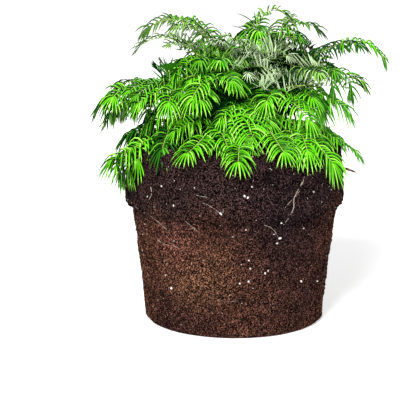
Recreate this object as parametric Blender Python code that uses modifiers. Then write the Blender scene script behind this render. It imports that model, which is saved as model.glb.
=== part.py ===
"""A young spreading plum yew standing on its bare root ball, as lifted out of a nursery pot.

Metres, +Z up, the ball's flat underside at Z = 0 and its axis on the origin.
The front of the plant faces -Y. Bearings are degrees round +Z, from +X.
One short trunk carries the boughs, and each bough ends where its mass of needled shoots begins.
"""

import itertools
import math
import random

import bmesh
import bpy
import numpy as np
from mathutils import Matrix, Vector

GAP = 0.0003  # what two pieces that touch leave between them

# Root ball: the pot's tapering plug of potting mix, with the wider collar of the pot's rim.
BALL_FOOT_RADIUS = 0.1135
BALL_WAIST_RADIUS = 0.1298
COLLAR_RADIUS = 0.1400
COLLAR_TOP_RADIUS = 0.1370
COLLAR_UNDERSIDE = 0.150
SOIL_EDGE = 0.232
SOIL_CROWN = 0.240
SOIL_FLAT_RADIUS = 0.032
SHOULDER = 0.008  # how far the soil rounds over at the collar's top
FOOT_ROUNDING = 0.003
BALL_SIDES = 40

# A broken root that stands out of the collar's right-hand side.
ROOT_LENGTH = 0.019
ROOT_RADIUS = 0.0015
ROOT_HEIGHT = 0.197
ROOT_BEARING = -180 / BALL_SIDES  # the middle of the ball's first facet
ROOT_FALL = -22

# Trunk: (height above the soil, radius), with the flare at its foot.
TRUNK_FOOT = Vector((0.010, 0.005, SOIL_CROWN + GAP))
TRUNK_LEAN = Vector((0.006, 0.003, 0))
TRUNK_PROFILE = [(0, 0.0155), (0.004, 0.0118), (0.012, 0.0098), (0.034, 0.0086), (0.070, 0.0058)]
TRUNK_SIDES = 10
TRUNK_HEIGHT = TRUNK_PROFILE[-1][0]

BOUGH_ROOT_RADIUS = 0.0028
BOUGH_TIP_RADIUS = 0.0018
BOUGH_SIDES = 6
BOUGH_STEPS = 4
ROOTED = 0.5  # how far out from the trunk's heart a level bough starts, as a share of its radius
BOUGH_SHARE = 0.30  # of the whole limb, from the trunk to where the needles begin

# Shoots: a three-sided twig with a needle on each side of every step.
NEEDLE_PITCH = 0.0062
NEEDLE_LENGTH = 0.036
NEEDLE_END_SHARE = 0.5  # how much of its length a needle keeps at the twig's tip
NEEDLE_SWEEP = (80, 46)  # degrees from the twig, at its foot and at its tip
NEEDLE_SWEEP_POWER = 1.4  # how late along the twig the sweep narrows
NEEDLE_REACH = 0.92  # how far a needle's tip gets outward and upward before it droops, as shares
NEEDLE_RISE = 0.12
NEEDLE_DROOP = 0.50  # fall of a needle's tip, as a share of its length
NEEDLE_CHOICES = ((1, 1), (1, 0.3), (0.8, 1), (0.8, 0.2), (0.62, 0.6), (0.5, 0))  # of length and droop
NEEDLE_SAMPLES = 14
NEEDLE_FREE_FROM = 0.2  # the share of a needle next to its twig that isn't tested for room
NEEDLE_SEAT_LIFT = 0.6  # how far up the twig's side a needle is rooted, against how far out
END_NEEDLE_REACH = 0.42
END_NEEDLE_FALL = 0.16
STEM_RADIUS = 0.0015
TWIG_RADIUS = 0.0011
TWIG_TIP_RADIUS = 0.0006
TWIG_CLEARANCE = 0.0040
JOINT_CLEARANCE = 0.010  # the start of a side shoot that may lie close to its own stem
NEEDLE_CLEARANCE = 0.0012
SOIL_CLEARANCE = 0.0016
SHOOT_DIP = 0.002  # how near the soil's skin a twig's middle line may come, beyond that

# Each mass: bearing and reach of its tip from the trunk, the tip's height, the angle at which the
# limb leaves the trunk, the angle at its tip, the height it springs from, its side shoots and, where
# it has one, the twist of its needles' plane.
MASSES = {
    "crown": dict(bearing=3, reach=0.053, height=0.393, lift=98, nod=-36, spring=0.066, sides=1, roll=8),
    "top_left": dict(bearing=175, reach=0.118, height=0.375, lift=58, nod=-38, spring=0.057, sides=3, roll=24),
    "upper_left": dict(bearing=184, reach=0.130, height=0.353, lift=46, nod=-38, spring=0.046, sides=2, roll=14),
    "high_left": dict(bearing=-150, reach=0.096, height=0.326, lift=64, nod=-50, spring=0.049, sides=3),
    "high_front": dict(bearing=-124, reach=0.112, height=0.302, lift=60, nod=-46, spring=0.0425, sides=3),
    "heart_front": dict(bearing=-84, reach=0.054, height=0.326, lift=74, nod=-60, spring=0.052, sides=3),
    "heart_right": dict(bearing=-40, reach=0.070, height=0.346, lift=74, nod=-42, spring=0.054, sides=3),
    "top_right": dict(bearing=13, reach=0.094, height=0.374, lift=66, nod=-26, spring=0.056, sides=3, roll=-8),
    "far_right": dict(bearing=-2, reach=0.176, height=0.339, lift=26, nod=-58, spring=0.050, sides=0, roll=10),
    "right_middle": dict(bearing=-13, reach=0.150, height=0.312, lift=36, nod=-32, spring=0.040, sides=3),
    "right_low": dict(bearing=-18, reach=0.130, height=0.282, lift=30, nod=-36, spring=0.029, sides=2),
    "rim_right": dict(bearing=-22, reach=0.150, height=0.228, lift=2, nod=-26, spring=0.019, sides=3, roll=-14),
    "rim_front_right": dict(bearing=-46, reach=0.154, height=0.224, lift=14, nod=-44, spring=0.012, sides=2),
    "front_right": dict(bearing=-51, reach=0.126, height=0.274, lift=44, nod=-36, spring=0.034, sides=3),
    "front_low_right": dict(bearing=-72, reach=0.152, height=0.243, lift=18, nod=-16, spring=0.020, sides=2),
    "front_centre": dict(bearing=-86, reach=0.108, height=0.256, lift=38, nod=-44, spring=0.030, sides=3),
    "front_low": dict(bearing=-93, reach=0.160, height=0.234, lift=16, nod=-12, spring=0.012, sides=2),
    "front_left": dict(bearing=-116, reach=0.156, height=0.241, lift=18, nod=-10, spring=0.019, sides=2),
    "left_shoulder": dict(bearing=-153, reach=0.144, height=0.290, lift=38, nod=-28, spring=0.040, sides=3),
    "rim_left": dict(bearing=-153, reach=0.180, height=0.222, lift=14, nod=-22, spring=0.013, sides=3),
    "low_left": dict(bearing=-165, reach=0.123, height=0.260, lift=26, nod=-44, spring=0.025, sides=3),
    "far_left": dict(bearing=180, reach=0.180, height=0.277, lift=22, nod=-44, spring=0.035, sides=4),
    "back_left": dict(bearing=150, reach=0.118, height=0.318, lift=50, nod=-14, spring=0.038, sides=4),
    "rim_back_left": dict(bearing=167, reach=0.180, height=0.248, lift=22, nod=-50, spring=0.018, sides=3),
    "high_back": dict(bearing=108, reach=0.094, height=0.322, lift=64, nod=-30, spring=0.055, sides=4),
    "back": dict(bearing=78, reach=0.138, height=0.276, lift=38, nod=-50, spring=0.033, sides=4),
    "rim_back": dict(bearing=106, reach=0.140, height=0.228, lift=16, nod=-54, spring=0.016, sides=4),
    "back_right": dict(bearing=44, reach=0.132, height=0.318, lift=48, nod=-44, spring=0.047, sides=4),
}

# Each end of a limb's curve holds its own direction over these shares of the limb's span.
LEAVE_HOLD = 0.48
ARRIVE_HOLD = 0.36

# Side shoots leave the stem at these shares of its length, by turns to the left and to the right.
SIDE_PLACES = (0.10, 0.30, 0.48, 0.66)
SIDE_PLACE_SCATTER = 0.05
SIDE_ANGLE = (38, 58)
SIDE_LENGTH = (0.62, 0.80)  # of the stem that is left beyond the joint
SIDE_RISE = 0.7  # how much of the stem's rise a side shoot takes on
SIDE_LIFT = (-4, 14)  # what is added to it, in degrees
SIDE_NOD = (26, 46)
SIDE_ROLL = 14
SIDE_NEEDLE = 0.92
SHORTEST_SHOOT = 0.026
TRIES = 6
SEED = 11
LIMB = -1  # what the trunk and boughs are listed as among the masses
AROUND = list(itertools.product((-1, 0, 1), repeat=3))

COLOURS = {
    "soil": ((0.075, 0.036, 0.024), 0.95),
    "bark": ((0.150, 0.085, 0.045), 0.85),
    "needles": ((0.100, 0.330, 0.020), 0.45),
}


def clear_scene():
    for obj in list(bpy.data.objects):
        bpy.data.objects.remove(obj, do_unlink=True)


def make_material(name):
    colour, roughness = COLOURS[name]
    material = bpy.data.materials.new(name)
    material.use_nodes = True
    shader = material.node_tree.nodes["Principled BSDF"]
    shader.inputs["Base Color"].default_value = (*colour, 1)
    shader.inputs["Roughness"].default_value = roughness
    shader.inputs["Metallic"].default_value = 0
    return material


def make_collection(name):
    collection = bpy.data.collections.new(name)
    bpy.context.scene.collection.children.link(collection)
    return collection


def add_object(name, data, collection, material=None):
    obj = bpy.data.objects.new(name, data)
    collection.objects.link(obj)
    if material:
        data.materials.append(material)
    return obj


def heading(bearing, lift):
    """The unit vector of a bearing and an angle above the horizon, in degrees."""
    b, e = math.radians(bearing), math.radians(lift)
    return Vector((math.cos(b) * math.cos(e), math.sin(b) * math.cos(e), math.sin(e)))


# ---- root ball -------------------------------------------------------------------------------


def soil_height(x, y):
    """Height of the soil's top, which falls gently from the flat round the trunk to the edge."""
    share = (math.hypot(x, y) - SOIL_FLAT_RADIUS) / (COLLAR_TOP_RADIUS - SOIL_FLAT_RADIUS)
    share = min(max(share, 0), 1)
    return SOIL_CROWN - (SOIL_CROWN - SOIL_EDGE) * share * share


def ball_profile():
    """Outer line of the root ball as (radius, height), from the crown down to the foot."""
    steps = 5
    points = [(0, SOIL_CROWN)]
    for i in range(steps):
        radius = SOIL_FLAT_RADIUS + (COLLAR_TOP_RADIUS - SHOULDER - SOIL_FLAT_RADIUS) * i / (steps - 1)
        points.append((radius, soil_height(radius, 0)))
    for degrees in (30, 60, 90):
        turn = math.radians(degrees)
        radius = COLLAR_TOP_RADIUS - SHOULDER * (1 - math.sin(turn))
        points.append((radius, SOIL_EDGE - SHOULDER * (1 - math.cos(turn))))
    points += [
        (COLLAR_RADIUS, COLLAR_UNDERSIDE + 0.010),
        (COLLAR_RADIUS - 0.0015, COLLAR_UNDERSIDE + 0.003),
        (BALL_WAIST_RADIUS + 0.002, COLLAR_UNDERSIDE),
        (BALL_WAIST_RADIUS, COLLAR_UNDERSIDE - 0.002),
        ((BALL_WAIST_RADIUS + BALL_FOOT_RADIUS) / 2, COLLAR_UNDERSIDE / 2),
        (BALL_FOOT_RADIUS, FOOT_ROUNDING),
        (BALL_FOOT_RADIUS - FOOT_ROUNDING, 0),
        (0, 0),
    ]
    return points


def make_root_ball(collection, material):
    mesh = bpy.data.meshes.new("root_ball")
    points = ball_profile()
    edges = [(i, i + 1) for i in range(len(points) - 1)]
    mesh.from_pydata([(r, 0, z) for r, z in points], edges, [])
    ball = add_object("root_ball", mesh, collection, material)
    screw = ball.modifiers.new("turn", "SCREW")
    screw.axis = "Z"
    screw.steps = BALL_SIDES
    screw.render_steps = BALL_SIDES
    screw.use_merge_vertices = True
    screw.merge_threshold = 0.0001
    return ball


def inside_ball(point):
    """True where a point lies in the root ball or closer to it than a needle may come."""
    radius = math.hypot(point.x, point.y)
    if point.z > soil_height(point.x, point.y) + SOIL_CLEARANCE:
        return False
    return radius < COLLAR_RADIUS + SOIL_CLEARANCE


# ---- limbs -----------------------------------------------------------------------------------


def tube(name, points, radii, sides, collection, material=None):
    """A round tapering limb: a curve with a radius at each point and filled ends."""
    curve = bpy.data.curves.new(name, "CURVE")
    curve.dimensions = "3D"
    curve.bevel_depth = 1
    curve.bevel_resolution = (sides - 4) // 2
    curve.use_fill_caps = True
    spline = curve.splines.new("POLY")
    spline.points.add(len(points) - 1)
    for target, place, radius in zip(spline.points, points, radii):
        target.co = (*place, 1)
        target.radius = radius
    return add_object(name, curve, collection, material)


def as_mesh(obj):
    """The curve made a mesh object with welded caps, in the same place and under the same name."""
    graph = bpy.context.evaluated_depsgraph_get()
    mesh = bpy.data.meshes.new_from_object(obj.evaluated_get(graph))
    shape = bmesh.new()
    shape.from_mesh(mesh)
    bmesh.ops.remove_doubles(shape, verts=shape.verts, dist=0.00001)
    shape.to_mesh(mesh)
    shape.free()
    name, collection, matrix = obj.name, obj.users_collection[0], obj.matrix_world.copy()
    bpy.data.objects.remove(obj, do_unlink=True)
    made = add_object(name, mesh, collection)
    made.matrix_world = matrix
    return made


def trunk_point(height):
    share = height / TRUNK_HEIGHT
    return TRUNK_FOOT + Vector((0, 0, height)) + TRUNK_LEAN * share * share


def trunk_radius(height):
    for (low, r_low), (high, r_high) in zip(TRUNK_PROFILE, TRUNK_PROFILE[1:]):
        if height <= high:
            return r_low + (r_high - r_low) * (height - low) / (high - low)
    return TRUNK_PROFILE[-1][1]


def make_trunk(name, collection, material=None, grown=0.0):
    """The trunk, or with grown the same shape that much fatter and longer, to cut the boughs with."""
    heights = [height for height, _ in TRUNK_PROFILE]
    points = [trunk_point(height) for height in heights]
    points[0].z -= grown
    points[-1].z += grown
    radii = [trunk_radius(height) + grown for height in heights]
    return tube(name, points, radii, TRUNK_SIDES, collection, material)


def limb_curve(spec, steps=48):
    """Points along a whole limb, a cubic curve from the trunk's heart to the tip of its mass."""
    outward = heading(spec["bearing"], 0)
    sideways = trunk_radius(spec["spring"]) * ROOTED * math.cos(math.radians(spec["lift"]))
    start = trunk_point(spec["spring"]) + outward * sideways
    level = outward * spec["reach"]
    tip = Vector((TRUNK_FOOT.x + level.x, TRUNK_FOOT.y + level.y, spec["height"]))
    span = (tip - start).length
    leave = start + heading(spec["bearing"], spec["lift"]) * span * LEAVE_HOLD
    arrive = tip - heading(spec["bearing"], spec["nod"]) * span * ARRIVE_HOLD
    points = []
    for i in range(steps + 1):
        t = i / steps
        s = 1 - t
        points.append(start * s**3 + leave * 3 * s * s * t + arrive * 3 * s * t * t + tip * t**3)
    return points


def lengths_along(points):
    total = [0.0]
    for a, b in zip(points, points[1:]):
        total.append(total[-1] + (b - a).length)
    return total


def point_at(points, total, distance):
    for i in range(1, len(points)):
        if distance <= total[i] or i == len(points) - 1:
            share = (distance - total[i - 1]) / (total[i] - total[i - 1])
            return points[i - 1].lerp(points[i], share)
    return points[-1]


def stretch_of(points, start, end, steps):
    """Evenly spaced points along a line between two distances from its start."""
    total = lengths_along(points)
    return [point_at(points, total, start + (end - start) * i / steps) for i in range(steps + 1)]


def make_bough(name, points, collection, material, cutter):
    radii = [
        BOUGH_ROOT_RADIUS + (BOUGH_TIP_RADIUS - BOUGH_ROOT_RADIUS) * i / (len(points) - 1)
        for i in range(len(points))
    ]
    bough = as_mesh(tube(name, points, radii, BOUGH_SIDES, collection))
    bough.data.materials.append(material)
    cut = bough.modifiers.new("seat_on_trunk", "BOOLEAN")
    cut.operation = "DIFFERENCE"
    cut.object = cutter
    return bough


def make_broken_root(collection, material):
    """A root that comes straight out of the collar and then falls a little."""
    collar = [point for point in ball_profile() if point[1] > COLLAR_UNDERSIDE + 0.005]
    upper, lower = [point for point in collar if point[0] > COLLAR_TOP_RADIUS - 0.0001][-2:]
    share = (upper[1] - ROOT_HEIGHT) / (upper[1] - lower[1])
    skin = (upper[0] + (lower[0] - upper[0]) * share) * math.cos(math.pi / BALL_SIDES)
    start = heading(ROOT_BEARING, 0) * (skin + GAP)
    start.z = ROOT_HEIGHT
    bend = start + heading(ROOT_BEARING, 0) * ROOT_RADIUS * 2
    end = bend + heading(ROOT_BEARING, ROOT_FALL) * (ROOT_LENGTH - ROOT_RADIUS * 2)
    radii = [ROOT_RADIUS, ROOT_RADIUS, ROOT_RADIUS * 0.8]
    tube("broken_root", [start, bend, end], radii, BOUGH_SIDES, collection, material)


# ---- shoots ----------------------------------------------------------------------------------


class Shoot:
    """One needled twig: its points a needle's pitch apart, its bearing, twist and thickness."""

    def __init__(self, points, bearing, roll, radius, needle):
        self.points = points
        self.side = heading(bearing + 90, 0)
        self.roll = math.radians(roll)
        self.radius = radius
        self.needle = needle

    def frame(self, i):
        """Twig direction, side and upward normal at point i."""
        before = self.points[max(i - 1, 0)]
        after = self.points[min(i + 1, len(self.points) - 1)]
        along = (after - before).normalized()
        side = (self.side - along * self.side.dot(along)).normalized()
        side = Matrix.Rotation(self.roll, 3, along) @ side
        return along, side, along.cross(side).normalized()

    def ring(self, i):
        """Matrix that carries a unit triangle on XY to this point of the twig."""
        along, side, up = self.frame(i)
        share = i / (len(self.points) - 1)
        radius = self.radius + (TWIG_TIP_RADIUS - self.radius) * share
        turn = Matrix((side, up, along)).transposed().to_4x4()
        return Matrix.Translation(self.points[i]) @ turn @ Matrix.Scale(radius, 4)


def spaced_by_pitch(points, start, end):
    steps = max(3, round((end - start) / NEEDLE_PITCH))
    return stretch_of(points, start, end, steps)


def side_shoot_curve(root, bearing, lift, nod, length, steps=12):
    """A twig that leaves root at one angle above the horizon and bends down as it goes."""
    points = [root.copy()]
    for i in range(steps):
        share = (i + 0.5) / steps
        points.append(points[-1] + heading(bearing, lift - nod * share) * (length / steps))
    return points


def too_close(points, others, clearance):
    """True where any of the points lies within clearance of the others, an array of places."""
    if not len(others):
        return False
    mine = np.array([tuple(p) for p in points])
    gaps = np.linalg.norm(mine[:, None, :] - others[None, :, :], axis=2)
    return bool((gaps < clearance).any())


def plan_limbs():
    """For each mass: its bough's points, its stem shoot and the random numbers that are its own."""
    plans = {}
    for number, (name, spec) in enumerate(MASSES.items()):
        curve = limb_curve(spec)
        whole = lengths_along(curve)[-1]
        fork = whole * BOUGH_SHARE
        bough = stretch_of(curve, 0, fork, BOUGH_STEPS)
        stem_points = spaced_by_pitch(curve, fork + GAP, whole)
        stem = Shoot(stem_points, spec["bearing"], spec.get("roll", 0), STEM_RADIUS, NEEDLE_LENGTH)
        plans[name] = dict(spec=spec, bough=bough, shoots=[stem], dice=random.Random(SEED + number))
    return plans


def plan_side_shoots(plans):
    """Adds each mass's side shoots, skipping any that would run into a limb or another twig."""
    for name, plan in plans.items():
        spec, stem, dice = plan["spec"], plan["shoots"][0], plan["dice"]
        stem_length = lengths_along(stem.points)[-1]
        for number in range(spec["sides"]):
            hand = 1 if (number + len(name)) % 2 else -1
            for _ in range(TRIES):
                shoot = side_shoot(spec, stem, stem_length, SIDE_PLACES[number], hand, dice)
                if shoot and shoot_is_clear(shoot, plan, plans):
                    plan["shoots"].append(shoot)
                    break


def side_shoot(spec, stem, stem_length, place, hand, dice):
    place += dice.uniform(-SIDE_PLACE_SCATTER, SIDE_PLACE_SCATTER)
    joint = round(place * (len(stem.points) - 1))
    along = stem.frame(joint)[0]
    bearing = spec["bearing"] + hand * dice.uniform(*SIDE_ANGLE)
    rise = math.degrees(math.asin(max(-1, min(1, along.z))))
    lift = rise * SIDE_RISE + dice.uniform(*SIDE_LIFT)
    length = stem_length * (1 - place) * dice.uniform(*SIDE_LENGTH)
    nod = dice.uniform(*SIDE_NOD)
    roll = dice.uniform(-SIDE_ROLL, SIDE_ROLL)
    if length < SHORTEST_SHOOT:
        return None
    curve = side_shoot_curve(stem.points[joint], bearing, lift, nod, length)
    points = spaced_by_pitch(curve, 0, length)
    return Shoot(points, bearing, roll, TWIG_RADIUS, NEEDLE_LENGTH * SIDE_NEEDLE)


def shoot_is_clear(shoot, plan, plans):
    if any(inside_ball(p - Vector((0, 0, SHOOT_DIP))) for p in shoot.points):
        return False
    beyond = [p for p in shoot.points if (p - shoot.points[0]).length > JOINT_CLEARANCE]
    for other in plans.values():
        lines = [s.points for s in other["shoots"]] + [other["bough"]]
        for line in lines:
            mine = beyond if other is plan else shoot.points
            if too_close(mine, np.array([tuple(p) for p in line]), TWIG_CLEARANCE):
                return False
    return True


class Space:
    """Keeps each mass to its own space: every place belongs to the mass whose twigs are nearest."""

    def __init__(self, plans):
        places, masses, shoots = [], [], []
        for number, plan in enumerate(plans.values()):
            for shoot in plan["shoots"]:
                fine = densely(shoot.points)
                places += fine
                masses += [number] * len(fine)
                shoots += [id(shoot)] * len(fine)
            limb = densely(plan["bough"])
            places += limb
            masses += [LIMB] * len(limb)
            shoots += [LIMB] * len(limb)
        trunk = densely([trunk_point(TRUNK_HEIGHT * i / 8) for i in range(9)])
        places += trunk
        masses += [LIMB] * len(trunk)
        shoots += [LIMB] * len(trunk)
        self.places = np.array([tuple(place) for place in places])
        self.masses = np.array(masses)
        self.shoots = np.array(shoots)
        self.taken = {}

    def is_own(self, number, shoot, samples):
        """True where a needle keeps to its mass's space and clear of the mass's other twigs."""
        mine = self.masses == number
        beside = mine & (self.shoots != id(shoot))
        for place, width in samples:
            gaps = np.linalg.norm(self.places - np.array(tuple(place)), axis=1)
            if gaps[~mine].min() < gaps[mine].min() + 2 * width:
                return False
            if beside.any() and gaps[beside].min() < width + STEM_RADIUS + TWIG_CLEARANCE / 4:
                return False
        return True

    def cell(self, place):
        return tuple(int(math.floor(c / NEEDLE_PITCH)) for c in place)

    def is_free(self, key, samples):
        """True where no other needle lies in the way, beyond the neighbours on the same twig."""
        shoot, hand, i = key
        for place, width in samples:
            x, y, z = self.cell(place)
            for dx, dy, dz in AROUND:
                for other, there, breadth in self.taken.get((x + dx, y + dy, z + dz), ()):
                    beside = other[0] is shoot and other[1] == hand and abs(other[2] - i) == 1
                    if not beside and (there - place).length < width + breadth + NEEDLE_CLEARANCE:
                        return False
        return True

    def take(self, key, samples):
        for place, width in samples:
            self.taken.setdefault(self.cell(place), []).append((key, place, width))


def densely(points):
    length = lengths_along(points)[-1]
    return stretch_of(points, 0, length, math.ceil(length / NEEDLE_CLEARANCE))


def needle_samples(root, tip):
    """Places along a needle with its half width there, from a little way out to its tip."""
    found = []
    for i in range(NEEDLE_SAMPLES):
        share = NEEDLE_FREE_FROM + (1 - NEEDLE_FREE_FROM) * i / (NEEDLE_SAMPLES - 1)
        found.append((root.lerp(tip, share), NEEDLE_PITCH / 2 * (1 - share)))
    return found


def needle_tip(shoot, i, hand, length, droop):
    """Where the needle rooted between points i and i + 1 ends."""
    along, side, up = shoot.frame(i)
    share = (i + 0.5) / (len(shoot.points) - 1)
    sweep = NEEDLE_SWEEP[0] + (NEEDLE_SWEEP[1] - NEEDLE_SWEEP[0]) * share**NEEDLE_SWEEP_POWER
    turn = math.radians(sweep)
    reach = along * math.cos(turn) + side * hand * math.sin(turn)
    root = shoot.points[i].lerp(shoot.points[i + 1], 0.5)
    tip = root + (reach * NEEDLE_REACH + up * NEEDLE_RISE) * length + Vector((0, 0, -droop * length))
    return root, tip


def needle_length(shoot, i):
    """Needles are longest at a shoot's foot and shorten towards its tip."""
    share = (i + 0.5) / (len(shoot.points) - 1)
    return shoot.needle * (NEEDLE_END_SHARE + (1 - NEEDLE_END_SHARE) * math.cos(math.pi / 2 * share))


def place_needle(space, number, shoot, i, hand):
    """The tip of a needle that keeps to its mass's space, made shorter or flatter, or None."""
    full = needle_length(shoot, i)
    for length_share, droop in NEEDLE_CHOICES:
        root, tip = needle_tip(shoot, i, hand, full * length_share, NEEDLE_DROOP * droop)
        samples = needle_samples(root, tip)
        if any(inside_ball(place) for place, _ in samples):
            continue
        if space.is_own(number, shoot, samples) and space.is_free((shoot, hand, i), samples):
            space.take((shoot, hand, i), samples)
            return tip
    return None


def build_shoot(shoot, space, number):
    """A three-sided twig drawn out along its points, with its side faces poked out as needles."""
    shape = bmesh.new()
    bmesh.ops.create_cone(shape, cap_ends=True, segments=3, radius1=1, radius2=1, depth=1)
    first, last = shoot.ring(0), shoot.ring(1)
    front = max(shape.faces, key=lambda f: f.calc_center_median().z)
    for vert in shape.verts:
        flat = Vector((vert.co.x, vert.co.y, 0))
        vert.co = (last if vert.co.z > 0 else first) @ flat
    for i in range(2, len(shoot.points)):
        front = bmesh.ops.extrude_discrete_faces(shape, faces=[front])["faces"][0]
        step = shoot.ring(i) @ shoot.ring(i - 1).inverted()
        bmesh.ops.transform(shape, matrix=step, verts=front.verts)
    needles = []
    for i in range(len(shoot.points) - 1):
        middle = shoot.points[i].lerp(shoot.points[i + 1], 0.5)
        _, side, up = shoot.frame(i)
        for hand in (-1, 1):
            tip = place_needle(space, number, shoot, i, hand)
            if tip is None:
                continue
            skin = middle + (side * hand + up * NEEDLE_SEAT_LIFT) * TWIG_TIP_RADIUS
            nearby = [f for f in shape.faces if len(f.verts) == 4 and f is not front]
            face = min(nearby, key=lambda f: (f.calc_center_median() - skin).length)
            needles.append((face, tip))
    for face, tip in needles:
        bmesh.ops.poke(shape, faces=[face])["verts"][0].co = tip
    along = shoot.frame(len(shoot.points) - 1)[0]
    end = shoot.points[-1] + (along * END_NEEDLE_REACH - Vector((0, 0, END_NEEDLE_FALL))) * shoot.needle
    if not inside_ball(end) and space.is_own(number, shoot, needle_samples(shoot.points[-1], end)):
        bmesh.ops.poke(shape, faces=[front])["verts"][0].co = end
    mesh = bpy.data.meshes.new("shoot")
    bmesh.ops.triangulate(shape, faces=shape.faces)
    shape.to_mesh(mesh)
    shape.free()
    return mesh


def make_mass(name, plan, number, space, collection, material):
    """One mass: its stem and side shoots joined into a single body by one Boolean union."""
    meshes = [build_shoot(shoot, space, number) for shoot in plan["shoots"]]
    mass = add_object(name, meshes[0], collection, material)
    if len(meshes) == 1:
        return
    joining = make_collection("joining")
    for mesh in meshes[1:]:
        add_object("side_shoot", mesh, joining)
    join = mass.modifiers.new("join", "BOOLEAN")
    join.operation = "UNION"
    join.operand_type = "COLLECTION"
    join.collection = joining
    join.solver = "MANIFOLD"
    graph = bpy.context.evaluated_depsgraph_get()
    joined = bpy.data.meshes.new_from_object(mass.evaluated_get(graph))
    mass.modifiers.clear()
    mass.data = joined
    for obj in list(joining.objects):
        bpy.data.objects.remove(obj, do_unlink=True)
    bpy.data.collections.remove(joining)


def main():
    clear_scene()
    plant = make_collection("plum_yew")
    cutters = make_collection("cutters")
    soil, bark, needles = (make_material(name) for name in ("soil", "bark", "needles"))

    make_root_ball(plant, soil)
    make_broken_root(plant, bark)
    make_trunk("trunk", plant, bark)
    cutter = as_mesh(make_trunk("trunk_clearance", cutters, grown=GAP))
    cutter.hide_render = True
    cutter.display_type = "WIRE"

    plans = plan_limbs()
    plan_side_shoots(plans)
    space = Space(plans)
    for number, (name, plan) in enumerate(plans.items()):
        make_bough("bough_" + name, plan["bough"], plant, bark, cutter)
        make_mass("needles_" + name, plan, number, space, plant, needles)


main()
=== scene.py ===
import math
import random

import bmesh
import bpy
import numpy as np
from mathutils import Matrix, Vector, noise


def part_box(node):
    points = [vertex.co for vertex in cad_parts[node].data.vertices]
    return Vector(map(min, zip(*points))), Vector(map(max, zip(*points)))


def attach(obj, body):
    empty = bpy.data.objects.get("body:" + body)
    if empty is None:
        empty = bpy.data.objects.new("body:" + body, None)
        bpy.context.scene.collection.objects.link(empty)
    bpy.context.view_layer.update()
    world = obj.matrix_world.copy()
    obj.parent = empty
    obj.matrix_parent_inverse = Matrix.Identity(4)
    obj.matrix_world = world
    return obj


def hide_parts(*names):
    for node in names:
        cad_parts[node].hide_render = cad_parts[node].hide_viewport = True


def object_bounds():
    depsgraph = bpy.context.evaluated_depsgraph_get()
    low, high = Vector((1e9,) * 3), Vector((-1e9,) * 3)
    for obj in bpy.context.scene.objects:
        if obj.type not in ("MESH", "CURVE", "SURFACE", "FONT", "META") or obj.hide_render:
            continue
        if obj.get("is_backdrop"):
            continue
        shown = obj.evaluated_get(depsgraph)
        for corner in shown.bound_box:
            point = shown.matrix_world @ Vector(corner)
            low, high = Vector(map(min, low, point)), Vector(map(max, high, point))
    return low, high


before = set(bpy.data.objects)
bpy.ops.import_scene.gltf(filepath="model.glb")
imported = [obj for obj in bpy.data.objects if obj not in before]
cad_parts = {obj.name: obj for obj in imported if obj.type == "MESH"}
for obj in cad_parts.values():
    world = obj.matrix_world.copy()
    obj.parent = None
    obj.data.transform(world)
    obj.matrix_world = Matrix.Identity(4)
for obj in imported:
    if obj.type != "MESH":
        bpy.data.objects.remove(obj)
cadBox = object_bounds()
print("frame loaded:", len(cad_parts), "nodes")


def addObject(name, data):
    obj = bpy.data.objects.new(name, data)
    bpy.context.scene.collection.objects.link(obj)
    return obj


cameraSet = {
    "elevation": 12.5,  # degrees above the horizon
    "distance": 2.4,
    "aim": (-0.0423, 0.0, 0.1500),
    "viewWidth": 0.5212,  # of the plane through the aim, in metres
    "sensor": 36.0,
}


def makeCamera(spec):
    camera = addObject("camera", bpy.data.cameras.new("camera"))
    tilt = math.radians(spec["elevation"])
    back = Vector((0, -math.cos(tilt), math.sin(tilt)))
    camera.location = Vector(spec["aim"]) + back * spec["distance"]
    camera.rotation_euler = (math.pi / 2 - tilt, 0, 0)
    camera.data.sensor_width = spec["sensor"]
    camera.data.lens = spec["sensor"] * spec["distance"] / spec["viewWidth"]
    bpy.context.scene.camera = camera


makeCamera(cameraSet)
print("camera set")

studio = {
    "floorSize": 12.0,
    "floorColour": (0.74, 0.74, 0.74),
    "floorGlow": 0.42,  # keeps the shadow on it faint
    "skyLight": 0.21,  # strength of the white sky as a light
    "skySeen": 1.0,  # and as it is seen behind the plant
    "keyPlace": (-0.75, -2.2, 1.75),
    "keyWidth": 18,  # degrees, a broad soft sun
    "keyStrength": 4.3,
    "squareLights": {  # place, size and power
        "fillLight": ((0.5, -1.6, 0.55), 0.9, 10.0),
        "rimLight": ((0.3, 1.9, 1.7), 1.4, 30.0),
    },
    "aim": (0.0, 0.0, 0.22),
}
white = (1, 1, 1, 1)


def sunLight(name, place, width, strength):
    lamp = bpy.data.lights.new(name, "SUN")
    lamp.angle = math.radians(width)
    lamp.energy = strength
    obj = addObject(name, lamp)
    obj.rotation_euler = (-Vector(place)).to_track_quat("-Z", "Y").to_euler()


def areaLight(name, place, size, power, aim):
    lamp = bpy.data.lights.new(name, "AREA")
    lamp.shape = "SQUARE"
    lamp.size = size
    lamp.energy = power
    obj = addObject(name, lamp)
    obj.location = place
    obj.rotation_euler = (Vector(aim) - Vector(place)).to_track_quat("-Z", "Y").to_euler()


def paint(name, colour, roughness, specular=0.5):
    mat = bpy.data.materials.new(name)
    mat.use_nodes = True
    shader = mat.node_tree.nodes["Principled BSDF"]
    shader.inputs["Base Color"].default_value = (*colour, 1)
    shader.inputs["Roughness"].default_value = roughness
    shader.inputs["Specular IOR Level"].default_value = specular
    return mat


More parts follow.
